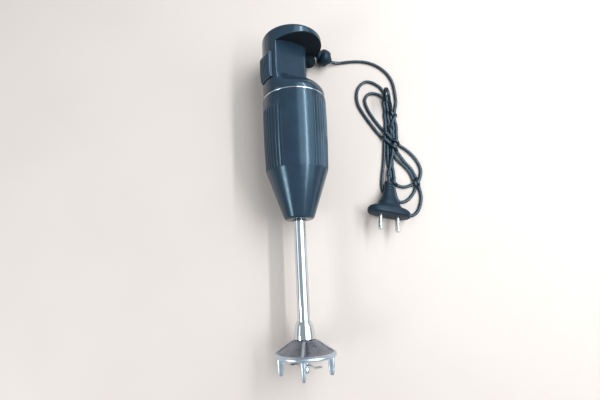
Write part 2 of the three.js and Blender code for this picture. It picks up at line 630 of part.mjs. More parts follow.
const PLUG = { x: 94.8, y: -22.2, z: 12.7, lift: 13, heading: -8, roll: -12, length: 38 };
const PIN = { radius: 2.4, root: -9.5, tip: 18.5, offset: 9.5 };

function addPlug() {
  const plug = new THREE.Group(); // its own +X points out of the pins, +Z is its upper side
  const radians = [PLUG.roll, -PLUG.lift, PLUG.heading - 90].map(THREE.MathUtils.degToRad);
  plug.position.set(PLUG.x, PLUG.y, PLUG.z);
  plug.rotation.set(...radians, 'ZYX');
  model.add(plug);
  // Cross-sections from the neck to the flange: distance back, half width, half height.
  const stations = [
    [-PLUG.length, 4.6, 3.9], [-30, 5.4, 4.5], [-22, 7.2, 5.2], [-17, 9.4, 6], [-13.7, 11.4, 6.6],
    [-9, 13.8, 7.2], [-6.4, 20.6, 8.4], [-4.6, 23, 8.9], [0.4, 23.4, 9], [1.4, 22.4, 8.6],
  ];
  // The flange's ends are fuller than an ellipse's.
  const power = (s) => (s > -9 ? 2.7 : 2.2);
  const body = polarLoft(stations.map(([s]) => s), (angle, s) => {
    const [, wide, high] = stations.find(([station]) => station === s);
    const [across, up] = [Math.abs(Math.cos(angle)) / wide, Math.abs(Math.sin(angle)) / high];
    return (across ** power(s) + up ** power(s)) ** (-1 / power(s));
  }, 24);
  const lying = solid(geometryOf(body), new THREE.Matrix4().makeRotationZ(-Math.PI / 2));
  const sides = [-PIN.offset, PIN.offset];
  const holes = sides.map((y) => bar([PIN.root - 0.5, y, 0], [3, y, 0], PIN.radius + GAP));
  place(plug, 'plug_body', cut(lying, ...holes), 'soft_black');
  const length = PIN.tip - PIN.root;
  const outline = [
    [0, 0], [PIN.radius, 0], [PIN.radius, length - 1.2], [PIN.radius - 1.1, length], [0, length],
  ];
  sides.forEach((y, k) => {
    const pin = turnedAlong(outline, [PIN.root, y, 0], [0, y, 0], 16);
    place(plug, `plug_pin_${k + 1}`, pin, 'nickel');
  });
}

addHandle();
addTrigger();
addTrimRing();
place(casing, 'motor_housing', motorHousing(), 'gloss_black');
addField();
addRotor();
addBearings();
addBrushes();
addDrive();
addFerrule();
addGuard();
addBlade();
addStrainRelief();
addCordClamp();
addCord();
addPlug();

export default model;
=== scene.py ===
# Immersion blender on a table: the detailed pieces, materials, light and camera.
# Shapes are written in millimetres and turned into metres as each mesh is made.
import math
import bmesh
import bpy
import numpy as np
from mathutils import Matrix, Vector
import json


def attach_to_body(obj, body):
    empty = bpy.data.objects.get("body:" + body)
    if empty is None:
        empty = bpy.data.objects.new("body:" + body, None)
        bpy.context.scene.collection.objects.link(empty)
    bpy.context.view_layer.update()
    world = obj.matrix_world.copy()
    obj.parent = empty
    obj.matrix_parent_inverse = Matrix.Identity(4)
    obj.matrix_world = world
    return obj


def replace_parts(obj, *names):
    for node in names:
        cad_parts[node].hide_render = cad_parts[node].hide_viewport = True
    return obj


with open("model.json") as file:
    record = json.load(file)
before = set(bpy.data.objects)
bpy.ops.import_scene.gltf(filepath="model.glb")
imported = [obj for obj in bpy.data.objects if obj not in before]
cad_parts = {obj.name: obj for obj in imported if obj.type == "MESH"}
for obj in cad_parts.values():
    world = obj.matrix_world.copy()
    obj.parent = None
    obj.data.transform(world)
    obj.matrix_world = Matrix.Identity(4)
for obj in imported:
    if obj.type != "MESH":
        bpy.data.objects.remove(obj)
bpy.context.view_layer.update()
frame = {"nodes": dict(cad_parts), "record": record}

# ---- Driving dimensions, millimetres -------------------------------------------------------------
AXIS = Vector((0.8, 0, 33.1))
ROLL = math.radians(32)
GAP = 0.3
WALL = 2.6

HEAD_TOP = 170
HEAD_UNDERSIDE = 162.5
RING_BOTTOM = 98.3
RING_TOP = 99.7
EDGE_Y = 20.7
LIP_BOTTOM = -26.8
FERRULE_TOP = -122.7
GUARD_TOP = -138.6
RIM_TOP = -150
RIM_BOTTOM = -153
LEG_TIP = -170
BLADE_Y = -161.6

RING_R = 32.7
HANDLE_R = 32.3
TUBE_R = 6
GUARD_R = 28.8
SPINDLE_R = 1.6
GUARD_TURN = math.radians(5.7)
BLADE_TURN = math.radians(30)

NOSE_R = 9.5
NOSE_X = 6.2
COLUMN_EDGE = math.radians(153)
SHOULDER_Y = 103
FOOT_AT_NOSE = 127
FOOT_AT_EDGE = 120.5

# The handle's screws, and the swelling under the head that the cord leaves from.
SCREWS = [(-14, 158.5), (9, 139), (4, 112.5), (-20, 106.5)]
SCREW_SEAT = 8.5
ACCESS_R = 3.4
BOSS_AT = (26.8, 160, -7.9)
BOSS_SIZE = (8.4, 8.2, 7.4)

TRIGGER_HALF = 9.7
TRIGGER_TOP = 144.6
TRIGGER_BOTTOM = 115.5
TRIGGER_REACH = 36.4
WINDOW_HALF = TRIGGER_HALF + 0.6
WINDOW_ANGLES = [165, 168, 171, 174, 177, 180]
PIVOT = (-25.5, 148.5)

# Each group of flutes: its middle in degrees, how many lie to either side of it, and their top.
FLUTE_R = 1.35
FLUTE_DEPTH = 0.9
FLUTE_PITCH = 6.6
FLUTE_GROUPS = [(0, 13, 94.6), (180, 4.5, 85)]

CORD_WIDE = 3.5
CORD_THICK = 2.6

PLACED = Matrix.Translation(AXIS)
CASING = PLACED @ Matrix.Rotation(ROLL, 4, "Y")
WORLD = Matrix.Identity(4)
MM = 0.001


# ---- Camera --------------------------------------------------------------------------------------
def add_camera():
    tilt, roll = math.radians(12), math.radians(2.56)
    ahead = Vector((math.sin(roll) * math.sin(tilt), math.cos(roll) * math.sin(tilt), -math.cos(tilt)))
    up = Vector((math.sin(roll) * math.cos(tilt), math.cos(roll) * math.cos(tilt), math.sin(tilt)))
    data = bpy.data.cameras.new("camera")
    data.sensor_width = 36
    data.lens = 22.09
    data.clip_start = 0.01
    camera = bpy.data.objects.new("camera", data)
    bpy.context.scene.collection.objects.link(camera)
    turn = Matrix((ahead.cross(up), up, -ahead)).transposed().to_4x4()
    turn.translation = Vector((-0.0012, -0.0834, 0.3925))
    camera.matrix_world = turn
    bpy.context.scene.camera = camera


# ---- Materials -----------------------------------------------------------------------------------
class Shader:
    """A Principled material built up with procedural detail."""

    def __init__(self, name, colour, metallic, roughness):
        self.material = bpy.data.materials.new(name)
        self.material.use_nodes = True
        self.tree = self.material.node_tree
        self.bsdf = self.tree.nodes["Principled BSDF"]
        self.bsdf.inputs["Metallic"].default_value = metallic
        self.bsdf.inputs["Base Color"].default_value = (*colour, 1)
        self.bsdf.inputs["Roughness"].default_value = roughness
        self.place = self.tree.nodes.new("ShaderNodeTexCoord").outputs["Object"]
        self.height = None

    def link(self, start, end):
        self.tree.links.new(start, end)

    def noise(self, scale, detail=3, stretch=(1, 1, 1)):
        mapping = self.tree.nodes.new("ShaderNodeMapping")
        mapping.inputs["Scale"].default_value = stretch
        self.link(self.place, mapping.inputs["Vector"])
        node = self.tree.nodes.new("ShaderNodeTexNoise")
        node.inputs["Scale"].default_value = scale
        node.inputs["Detail"].default_value = detail
        self.link(mapping.outputs["Vector"], node.inputs["Vector"])
        return node.outputs["Fac"]

    def ranged(self, value, low, high, start=0.3, end=0.7):
        """A value stretched from start..end to low..high."""
        node = self.tree.nodes.new("ShaderNodeMapRange")
        for key, number in (("From Min", start), ("From Max", end), ("To Min", low), ("To Max", high)):
            node.inputs[key].default_value = number
        self.link(value, node.inputs["Value"])
        return node.outputs["Result"]

    def mixed(self, factor, first, second):
        node = self.tree.nodes.new("ShaderNodeMix")
        node.data_type = "RGBA"
        for socket, value in ((node.inputs[6], first), (node.inputs[7], second)):
            if isinstance(value, tuple):
                socket.default_value = (*value, 1)
            else:
                self.link(value, socket)
        self.link(factor, node.inputs[0])
        return node.outputs[2]

    def rough(self, scale, low, high, stretch=(1, 1, 1)):
        """Roughness that wanders between two values."""
        self.link(self.ranged(self.noise(scale, 4, stretch), low, high), self.bsdf.inputs["Roughness"])

    def tint(self, scale, first, second, worn=None):
        """Colour that wanders between two, with a third on worn edges."""
        colour = self.mixed(self.ranged(self.noise(scale), 0, 1), first, second)
        if worn:
            edge = self.tree.nodes.new("ShaderNodeNewGeometry").outputs["Pointiness"]
            colour = self.mixed(self.ranged(edge, 0, 1, 0.53, 0.6), colour, worn)
        self.link(colour, self.bsdf.inputs["Base Color"])

    def bump(self, value, strength, distance):
        """Fine relief, laid over any that is there already."""
        node = self.tree.nodes.new("ShaderNodeBump")
        node.inputs["Strength"].default_value = strength
        node.inputs["Distance"].default_value = distance
        self.link(value, node.inputs["Height"])
        if self.height:
            self.link(self.height, node.inputs["Normal"])
        self.height = node.outputs["Normal"]
        self.link(self.height, self.bsdf.inputs["Normal"])

    def gloss(self, level, tint=None):
        """How strongly the surface mirrors where it is not metal, and in what colour."""
        self.bsdf.inputs["Specular IOR Level"].default_value = level
        if tint:
            self.bsdf.inputs["Specular Tint"].default_value = (*tint, 1)


def gloss_black():
    s = Shader("gloss_black", (0.012, 0.015, 0.02), 0, 0.25)
    s.tint(60, (0.014, 0.028, 0.045), (0.019, 0.036, 0.058))
    s.rough(180, 0.17, 0.24)
    s.bump(s.noise(1100, 2), 0.03, 0.0001)
    s.bump(s.noise(45, 2), 0.08, 0.0004)
    s.gloss(0.5, (0.62, 0.84, 1))
    return s.material


# Darker than the gloss black; laid under the head and on the cord's swelling as painted shade.
def matt_black():
    s = Shader("matt_black", (0.004, 0.009, 0.014), 0, 0.75)
    s.tint(90, (0.007, 0.012, 0.017), (0.01, 0.016, 0.022))
    s.bump(s.noise(1600, 3), 0.3, 0.00015)
    s.gloss(0.1)
    return s.material


def soft_black():
    s = Shader("soft_black", (0.01, 0.016, 0.022), 0, 0.5)
    s.tint(150, (0.005, 0.014, 0.024), (0.009, 0.02, 0.033), (0.016, 0.032, 0.05))
    s.rough(300, 0.34, 0.5)
    s.bump(s.noise(2600, 3), 0.2, 0.0001)
    s.gloss(0.27, (0.7, 0.87, 1))
    return s.material


def cord_black():
    s = Shader("cord_black", (0.008, 0.015, 0.022), 0, 0.3)
    s.tint(150, (0.005, 0.012, 0.019), (0.009, 0.018, 0.027))
    s.rough(300, 0.22, 0.36)
    s.bump(s.noise(1600, 3), 0.1, 0.0001)
    s.gloss(0.6, (0.7, 0.87, 1))
    return s.material


def bright_aluminium():
    s = Shader("bright_aluminium", (0.56, 0.63, 0.7), 1, 0.32)
    s.tint(150, (0.5, 0.57, 0.65), (0.6, 0.67, 0.74), (0.7, 0.76, 0.82))
    s.rough(240, 0.26, 0.42)
    s.bump(s.noise(1200, 4), 0.15, 0.0002)
    return s.material


def chrome():
    s = Shader("chrome", (0.72, 0.76, 0.79), 1, 0.12)
    s.tint(40, (0.64, 0.68, 0.71), (0.72, 0.75, 0.77))
    s.rough(70, 0.07, 0.17, (1, 0.12, 1))
    s.bump(s.noise(700, 2, (1, 0.03, 1)), 0.05, 0.00008)
    return s.material


def cast_aluminium():
    s = Shader("cast_aluminium", (0.24, 0.26, 0.31), 1, 0.35)
    s.tint(120, (0.19, 0.205, 0.25), (0.26, 0.28, 0.33), (0.5, 0.55, 0.62))
    s.rough(240, 0.2, 0.36)
    s.bump(s.noise(900, 5), 0.22, 0.00025)
    return s.material


def steel():
    s = Shader("steel", (0.55, 0.56, 0.58), 1, 0.28)
    s.tint(200, (0.5, 0.51, 0.53), (0.6, 0.61, 0.62), (0.72, 0.72, 0.73))
    s.rough(260, 0.2, 0.36)
    s.bump(s.noise(1500, 3), 0.1, 0.0001)
    return s.material


def nickel():
    s = Shader("nickel", (0.68, 0.67, 0.64), 1, 0.2)
    s.tint(160, (0.62, 0.61, 0.58), (0.72, 0.71, 0.68))
    s.rough(300, 0.14, 0.28)
    s.bump(s.noise(1200, 2), 0.08, 0.00008)
    return s.material


def copper():
    s = Shader("copper", (0.5, 0.19, 0.08), 1, 0.35)
    s.tint(300, (0.42, 0.15, 0.06), (0.58, 0.24, 0.11))
    s.rough(400, 0.28, 0.45)
    s.bump(s.noise(1800, 2, (1, 0.1, 1)), 0.4, 0.0002)
    return s.material


def lamination():
    s = Shader("lamination", (0.16, 0.165, 0.17), 1, 0.5)
    s.tint(250, (0.12, 0.125, 0.13), (0.2, 0.205, 0.21))
    s.bump(s.noise(1500, 1, (0.02, 1, 0.02)), 0.5, 0.0003)
    return s.material


def carbon():
    s = Shader("carbon", (0.02, 0.02, 0.02), 0, 0.7)
    s.tint(700, (0.014, 0.014, 0.014), (0.03, 0.03, 0.03))
    s.bump(s.noise(2500, 3), 0.3, 0.0001)
    return s.material


def inner_plastic():
    s = Shader("inner_plastic", (0.75, 0.73, 0.66), 0, 0.5)
    s.tint(120, (0.7, 0.68, 0.61), (0.78, 0.76, 0.7))
    s.rough(300, 0.42, 0.58)
    s.bump(s.noise(1400, 2), 0.1, 0.0001)
    return s.material


def bronze():
    s = Shader("bronze", (0.42, 0.26, 0.11), 1, 0.4)
    s.tint(300, (0.36, 0.22, 0.09), (0.48, 0.31, 0.14))
    s.rough(300, 0.32, 0.5)
    return s.material


MATERIALS = {
    "gloss_black": gloss_black(), "soft_black": soft_black(), "chrome": chrome(),
    "aluminium": cast_aluminium(), "steel": steel(), "nickel": nickel(), "copper": copper(),
    "lamination": lamination(), "carbon": carbon(), "inner_plastic": inner_plastic(),
    "bronze": bronze(), "matt_black": matt_black(),
    "cord_black": cord_black(), "bright_aluminium": bright_aluminium(),
}


# ---- Mesh helpers --------------------------------------------------------------------------------
def closed_mesh(name, points, faces, place):
    """A mesh from points in millimetres in one of the frames, with its seams joined."""
    mesh = bpy.data.meshes.new(name)
    mesh.from_pydata([tuple((place @ Vector(p)) * MM) for p in points], [], faces)
    shape = bmesh.new()
    shape.from_mesh(mesh)
    bmesh.ops.remove_doubles(shape, verts=shape.verts, dist=1e-6)
    bmesh.ops.recalc_face_normals(shape, faces=shape.faces)
    shape.to_mesh(mesh)
    shape.free()
    return mesh


def made(name, points, faces, place, body, look, sharp=40):
    """A piece of one body, with its material, from points in millimetres in one of the frames."""
    piece = bpy.data.objects.new(name, closed_mesh(name, points, faces, place))
    bpy.context.scene.collection.objects.link(piece)
    piece.data.materials.append(MATERIALS[look])
    smooth(piece, sharp)
    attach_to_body(piece, body)
    return piece


def smooth(piece, sharp=40):
    """Shade the piece smooth, with hard edges where faces meet at more than the angle."""
    piece.data.polygons.foreach_set("use_smooth", [True] * len(piece.data.polygons))
    piece.data.set_sharp_from_angle(angle=math.radians(sharp))


def soften(piece, width=0.3, angle=50):
    """A small rounding on the crisp edges that the outline doesn't round itself."""
    bevel = piece.modifiers.new("edges", "BEVEL")
    bevel.width = width * MM
    bevel.segments = 2
    bevel.limit_method = "ANGLE"
    bevel.angle_limit = math.radians(angle)
    bevel.harden_normals = True
    return piece


def applied(piece):
    """Bake the piece's modifiers into its mesh."""
    graph = bpy.context.evaluated_depsgraph_get()
    mesh = bpy.data.meshes.new_from_object(piece.evaluated_get(graph))
    piece.modifiers.clear()
    piece.data = mesh
    return piece


def carved(piece, points, faces, place):
    """Take a closed shape out of the piece."""
    cutter = bpy.data.objects.new("cutter", closed_mesh("cutter", points, faces, place))
    bpy.context.scene.collection.objects.link(cutter)
    step = piece.modifiers.new("cut", "BOOLEAN")
    step.operation = "DIFFERENCE"
    step.solver = "EXACT"
    step.object = cutter
    applied(piece)
    bpy.data.objects.remove(cutter)
    return piece


def attach(piece, points, faces, place):
    """Add closed lumps to a piece that already has its mesh."""
    joined = bmesh.new()
    joined.from_mesh(closed_mesh("lumps", points, faces, place))
    joined.from_mesh(piece.data)
    joined.to_mesh(piece.data)
    joined.free()


def filleted(outline, radii, closed=True, steps=5):
    """Corners of a flat outline replaced by arcs."""
    count = len(outline)
    if not isinstance(radii, list):
        radii = [radii] * count
    result = []
    for k, here in enumerate(outline):
        p = Vector(here)
        if radii[k] == 0 or (not closed and k in (0, count - 1)):
            result.append(tuple(p))
            continue
        a, b = Vector(outline[k - 1]) - p, Vector(outline[(k + 1) % count]) - p
        half = a.angle(b) / 2
        if half > math.radians(88):
            result.append(tuple(p))
            continue
        reach = min(radii[k] / math.tan(half), 0.48 * a.length, 0.48 * b.length)
        radius = reach * math.tan(half)
        centre = p + (a.normalized() + b.normalized()).normalized() * radius / math.sin(half)
        start, end = p + a.normalized() * reach - centre, p + b.normalized() * reach - centre
        sweep = start.angle(end)
        for n in range(steps + 1):
            t = n / steps
            mix = (start * math.sin((1 - t) * sweep) + end * math.sin(t * sweep)) / math.sin(sweep)
            result.append(tuple(centre + mix))
    return result


def grid_faces(rows, columns, wrap_rows=False, wrap_columns=False, keep=None):
    """Four-sided faces over a grid of points, closed on itself in either direction if asked."""
    faces = []
    for i in range(rows if wrap_rows else rows - 1):
        for j in range(columns if wrap_columns else columns - 1):
            if keep and not keep(i, j):
                continue
            i2, j2 = (i + 1) % rows, (j + 1) % columns
            faces.append(tuple(a * columns + b for a, b in ((i, j), (i2, j), (i2, j2), (i, j2))))
    return faces


def turned(outline, segments=96):
    """Points and faces of a solid of revolution about Y, from a closed outline of (radius, y)."""
    points = []
    for r, y in outline:
        for j in range(segments):
            a = 2 * math.pi * j / segments
            points.append((max(r, 0) * math.cos(a), y, max(r, 0) * math.sin(a)))
    on_axis = outline[0][0] < 1e-6 and outline[-1][0] < 1e-6
    return points, grid_faces(len(outline), segments, not on_axis, True)


def shell(outer, inner, keep=None):
    """A closed wall from two grids of points of the same size, with cells left open where keep says."""
    rows, columns = len(outer), len(outer[0])
    points = [p for row in outer for p in row] + [p for row in inner for p in row]
    half = rows * columns
    skin = grid_faces(rows, columns, keep=keep)
    faces = list(skin) + [tuple(half + k for k in reversed(face)) for face in skin]
    edges = {}
    for face in skin:
        for a, b in zip(face, face[1:] + face[:1]):
            key = (min(a, b), max(a, b))
            edges[key] = None if key in edges else (a, b)
    faces += [(b, a, a + half, b + half) for a, b in filter(None, edges.values())]
    return points, faces


def extruded(outline, z0, z1):
    """An outline in x and y, drawn out along z."""
    count = len(outline)
    points = [(x, y, z) for z in (z0, z1) for x, y in outline]
    faces = [tuple(range(count))[::-1], tuple(range(count, 2 * count))]
    faces += [(k, (k + 1) % count, count + (k + 1) % count, count + k) for k in range(count)]
    return points, faces


def merged(*shapes):
    """Several shapes as one."""
    points, faces = [], []
    for more_points, more_faces in shapes:
        faces += [tuple(k + len(points) for k in face) for face in more_faces]
        points += list(more_points)
    return points, faces


def shifted(shape, matrix):
    """A shape moved by a matrix."""
    return [tuple(matrix @ Vector(p)) for p in shape[0]], shape[1]


def crosswise(shape, x, y):
    """A shape turned about Y, laid with its axis along z through a point of the casing."""
    return [(x + px, y + pz, py) for px, py, pz in shape[0]], shape[1]


def along(start, end):
    """The frame whose Y axis runs from one point towards another."""
    way = (Vector(end) - Vector(start)).normalized()
    return Matrix.Translation(start) @ Vector((0, 1, 0)).rotation_difference(way).to_matrix().to_4x4()


def between(value, knots):
    """Smooth interpolation through (position, value) knots."""
    if value <= knots[0][0]:
        return knots[0][1]
    for (x0, y0), (x1, y1) in zip(knots, knots[1:]):
        if value <= x1:
            k = knots.index((x0, y0))
            before = knots[k - 1] if k else (x0, y0)
            after = knots[k + 2] if k + 2 < len(knots) else (x1, y1)
            m0 = (y1 - before[1]) / (x1 - before[0])
            m1 = (after[1] - y0) / (after[0] - x0)
            h, t = x1 - x0, (value - x0) / (x1 - x0)
            return ((2 * t ** 3 - 3 * t ** 2 + 1) * y0 + (t ** 3 - 2 * t ** 2 + t) * h * m0
                    + (3 * t ** 2 - 2 * t ** 3) * y1 + (t ** 3 - t ** 2) * h * m1)
    return knots[-1][1]


def soft_min(a, b, k):
    """The smaller of two numbers, rounded over where they come within k of each other."""
    h = max(k - abs(a - b), 0) / k
    return min(a, b) - h * h * k / 4


def soft_max(a, b, k):
    """The larger of two numbers, rounded over in the same way."""
    return -soft_min(-a, -b, k)


# ---- Handle --------------------------------------------------------------------------------------
def column_reach(angle, inset):
    """How far the column reaches at an angle from its nose: round nose, flat cheek, round back."""
    back = HANDLE_R - inset
    edge_x = back * math.cos(COLUMN_EDGE)
    edge_z = back * math.sin(COLUMN_EDGE) - inset * 0.6
    nose = NOSE_R - inset
    span = math.hypot(NOSE_X - edge_x, edge_z)
    lean = math.asin(edge_z / span) - math.asin(nose / span)
    nx, nz = math.sin(lean), math.cos(lean)
    if angle < math.atan2(nose * nz, NOSE_X + nose * nx):
        chord = nose ** 2 - (NOSE_X * math.sin(angle)) ** 2
        return NOSE_X * math.cos(angle) + math.sqrt(max(0, chord))
    facing = math.cos(angle) * nx + math.sin(angle) * nz
    if facing < 0.02:
        return back
    return soft_min((edge_x * nx + edge_z * nz) / facing, back, 1.2)


def roof_y(x):
    """Where the underside of the head lies: level at the nose, lower towards the trigger."""
    return HEAD_UNDERSIDE - 8.5 * max(0, (8 - x) / 36) ** 1.7


WALL_HEIGHTS = [100.5, 101.6, 103, 104.4, 106, 107.8, 109.6, 111.4, 113, 114.4, 115.4, 116.3]
WALL_HEIGHTS += [round(117 + 0.45 * k, 2) for k in range(26)] + [129, 130.5, 132.5, 136, 140.5, 145.3]
WINDOW_ROWS = (WALL_HEIGHTS.index(114.4) + 1, WALL_HEIGHTS.index(145.3) + 1)


def handle_profile(angle, inset):
    """Stations from the ring's edge, up the shoulder and column, under the head, and over its top."""
    full = HANDLE_R - inset
    column = column_reach(angle, inset)
    foot = FOOT_AT_NOSE + (FOOT_AT_EDGE - FOOT_AT_NOSE) * min(1, angle / COLUMN_EDGE)
    cove = 0.3 + 1.7 * max(0, 1 - angle / COLUMN_EDGE) ** 0.6
    stations = [(full - 0.35, 100)]

    def reach(y):
        rise = max(0, (y - SHOULDER_Y) / (foot - SHOULDER_Y))
        slope = full - (full - column) * min(rise, 1.35) ** 1.8
        return min(full, soft_max(slope, column, cove))

    stations += [(reach(y), y) for y in WALL_HEIGHTS]
    ease = min(1, max(0, full - column) / 3)
    turn, edge = 1.6 * ease, 0.9 * ease
    top = roof_y(column * math.cos(angle)) + inset - turn
    last = WALL_HEIGHTS[-1]
    stations += [(column, last + (top - last) * t) for t in (0.25, 0.5, 0.75, 0.95)]
    for k in range(6):
        a = math.pi / 2 * k / 5
        stations.append((column + turn * (1 - math.cos(a)), top + turn * math.sin(a)))
    for t in (0.2, 0.4, 0.6, 0.8, 1):
        r = column + turn + (full - edge - column - turn) * t
        stations.append((r, roof_y(r * math.cos(angle)) + inset))
    low = stations[-1][1]
    for k in range(1, 5):
        a = math.pi / 2 * k / 4
        stations.append((full - edge + edge * math.sin(a), low + edge * (1 - math.cos(a))))
    round_r = 3.2
    high = HEAD_TOP - inset
    low = stations[-1][1]
    stations += [(full, low + (high - round_r - low) * t) for t in (0.3, 0.6, 0.9)]
    for k in range(8):
        a = math.pi / 2 * k / 7
        stations.append((full - round_r + round_r * math.cos(a), high - round_r + round_r * math.sin(a)))
    stations += [(r * (full - round_r), high) for r in (0.8, 0.6, 0.4, 0.2, 0)]
    return stations


def handle_angles():
    """Columns in degrees from the nose, closer together where the flat cheek meets the round back."""
    angles, a = [], 0.0
    window = 180 - math.degrees(math.asin(WINDOW_HALF / HANDLE_R))
    while a < window - 2.4:
        angles.append(a)
        a += 0.7 if 142 < a < 156 else 1.6
    return angles + [window, *WINDOW_ANGLES]


def handle_half(side):
    """One half of the casing, and the outer skin's points. The trigger's window is left open."""
    angles = handle_angles()
    first = len(angles) - 1 - len(WINDOW_ANGLES)  # the column on the window's edge
    low, high = WINDOW_ROWS
    grids = []
    for inset in (0, WALL):
        columns = [handle_profile(math.radians(a), inset) for a in angles]
        rows = []
        for i in range(len(columns[0])):
            row = []
            for a, column in zip(angles, columns):
                r, y = column[i]
                x, z = r * math.cos(math.radians(a)), r * math.sin(math.radians(a))
                if inset and a == angles[first] and low <= i <= high:
                    z = WINDOW_HALF  # the window's cheeks are parallel
                    x = -math.sqrt(r * r - z * z)
                row.append((x, y, side * max(z, GAP / 2)))
            rows.append(row)
        grids.append(rows)
    return shell(*grids, keep=lambda i, j: not (j >= first and low <= i < high)), grids[0]


def screw_post(x, y, skin):
    """The sleeve that a handle screw sits in, from its seat to just under the outer skin."""
    near = [abs(p[2]) for row in skin for p in row if math.hypot(p[0] - x, p[1] - y) < 5.5]
    reach = max(9.6, min([n for n in near if n > 5] or [10]) - 0.6)
    outline = [
        (ACCESS_R, -reach), (4.8, -reach), (4.8, -7.2), (1.6, -7.2), (1.6, -SCREW_SEAT),
        (ACCESS_R, -SCREW_SEAT),
    ]
    return crosswise(turned(outline, 32), x, y)


def add_handle():
    front, _ = handle_half(1)
    piece = made("handle_front_shell", *front, CASING, "casing", "gloss_black")
    shade_under_head(piece)
    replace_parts(soften(piece, 0.3), "handle_front")

    back, skin = handle_half(-1)
    piece = made("handle_back_shell", *back, CASING, "casing", "gloss_black")
    hole = turned([(0, -40), (ACCESS_R, -40), (ACCESS_R, -7.6), (0, -7.6)], 32)
    for x, y in SCREWS:
        carved(piece, *crosswise(hole, x, y), CASING)
    extras = merged(outlet_boss(), *[screw_post(x, y, skin) for x, y in SCREWS])
    attach(piece, *extras, CASING)
    smooth(piece)
    shade_under_head(piece)
    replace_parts(soften(piece, 0.3), "handle_back")


def shade_under_head(piece):
    """The head's underside and the swelling for the cord get the darker matt black: painted shade where the
    head overhangs them.
    """
    piece.data.materials.append(MATERIALS["matt_black"])
    upright = CASING.inverted()
    for face in piece.data.polygons:
        spot = upright @ (face.center / MM)
        reach = [(c - at) / size for c, at, size in zip(spot, BOSS_AT, BOSS_SIZE)]
        on_boss = spot.x > 21 and sum(r * r for r in reach) < 1.1
        # Faces turned down under the head, and the swelling, take the painted shade.
        under_head = spot.y > 150 and face.normal.y < -0.35
        if under_head or on_boss:
            face.material_index = 1


def outlet_boss():
    """The swelling under the head's rim that the cord leaves from."""
    outline = []
    for k in range(25):
        a = -math.pi / 2 + math.pi * k / 24
        outline.append((max(0, math.cos(a)), math.sin(a)))
    place = Matrix.Translation(BOSS_AT) @ Matrix.Diagonal((*BOSS_SIZE, 1))
    return shifted(turned(outline, 48), place)


def add_screws():
    outline = filleted([
        (0, 0.5), (0.5, 0.5), (0.9, 0), (2.2, 0), (2.8, 0.6), (2.8, 1.7), (1.3, 1.7), (1.3, 14.6), (0, 14.6),
    ], 0.25, False)
    for k, (x, y) in enumerate(SCREWS):
        seat = CASING @ along((x, y, -SCREW_SEAT), (x, y, 0))
        piece = made(f"handle_screw_head_{k + 1}", *turned(outline, 32), seat, "casing", "steel")
        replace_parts(piece, f"handle_screw_{k + 1}")


# ---- Trigger -------------------------------------------------------------------------------------
TRIGGER_CREST = [
    (115.5, 34), (117.5, 34.5), (120, 34.8), (126, 35.4), (132, 36), (138, 35.8), (142.4, 35), (144.6, 33.6),
]


def trigger_skin(y, z):
    """Distance from the axis plane to the trigger's outer face: crowned, rounded, with five grooves."""
    crest = between(y, TRIGGER_CREST)
    reach = min(crest, math.sqrt(TRIGGER_REACH ** 2 - z * z)) - 0.004 * z * z
    end = min(y - TRIGGER_BOTTOM, TRIGGER_TOP - y)
    side = TRIGGER_HALF - abs(z)
    for gap, radius in ((end, 1.6), (side, 1.4)):
        if gap < radius:
            reach -= radius - math.sqrt(max(0, radius ** 2 - (radius - gap) ** 2))
    fade = min(1, max(0, (TRIGGER_TOP - 2.6 - y) / 2)) * min(1, max(0, (y - TRIGGER_BOTTOM + 0.4) / 1.2))
    for middle in (-6.6, -3.3, 0, 3.3, 6.6):
        near = abs(z - middle)
        if near < 1.25:
            reach -= 0.85 * fade * (math.cos(math.pi * near / 1.25) + 1) / 2
    return reach


def add_trigger():
    ys = [TRIGGER_BOTTOM + d for d in (0, 0.1, 0.3, 0.6, 1, 1.6)]
    ys += [117.8 + k * 0.98 for k in range(25)]
    ys += [TRIGGER_TOP - d for d in (2.4, 1.6, 1, 0.6, 0.3, 0.1, 0)]
    zs = [TRIGGER_HALF * k / 48 for k in range(-48, 49)]
    zs[0:1] = [-TRIGGER_HALF, -TRIGGER_HALF + 0.06]
    zs[-1:] = [TRIGGER_HALF - 0.06, TRIGGER_HALF]
    outer = [[(-trigger_skin(y, z), y, z) for z in zs] for y in ys]
    inner = [[(-29.2, y, z) for z in zs] for y in ys]
    boss = filleted([
        (-29.3, 137), (-25.2, 139.8), (-22.2, 144), (-22.2, 152), (-27.7, 152), (-28.1, 149.8), (-28.4, 145),
    ], 0.9)
    hinge = extruded(boss, -7.5, 7.5)
    tongue = extruded(filleted([(-30, 128), (-22, 128), (-22, 132), (-30, 132)], 0.6), -3, 3)
    piece = made("trigger_paddle", *shell(outer, inner), CASING, "trigger", "gloss_black")
    attach(piece, *merged(hinge, tongue), CASING)
    pin = turned([(0, -14), (1.6, -14), (1.6, 14), (0, 14)], 24)
    x, y = PIVOT
    carved(piece, *crosswise(pin, x, y), CASING)
    slot = extruded([(x - 3.1, y - 3.4), (-20, y - 3.4), (-20, y + 6), (x - 3.1, y + 6)], -2.2, 2.2)
    carved(piece, *slot, CASING)
    smooth(piece)
    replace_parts(piece, "trigger")


# ---- Trim ring and motor housing -----------------------------------------------------------------
def add_trim_ring():
    outline = filleted([
        (RING_R - 3.2, RING_BOTTOM), (RING_R, RING_BOTTOM), (RING_R, RING_TOP), (RING_R - 3.2, RING_TOP),
    ], [0.1, 0.45, 0.45, 0.1])
    piece = made("trim_band", *turned(outline, 180), CASING, "casing", "chrome")
    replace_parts(piece, "trim_ring")


HOUSING_OUTLINE = [
    (13.6, LIP_BOTTOM), (15, LIP_BOTTOM + 1.4), (31, EDGE_Y), (31.5, EDGE_Y + 2.4), (31.8, 30), (32.6, 49),
    (33, 71), (33.1, 92), (32.9, RING_BOTTOM - GAP),
]


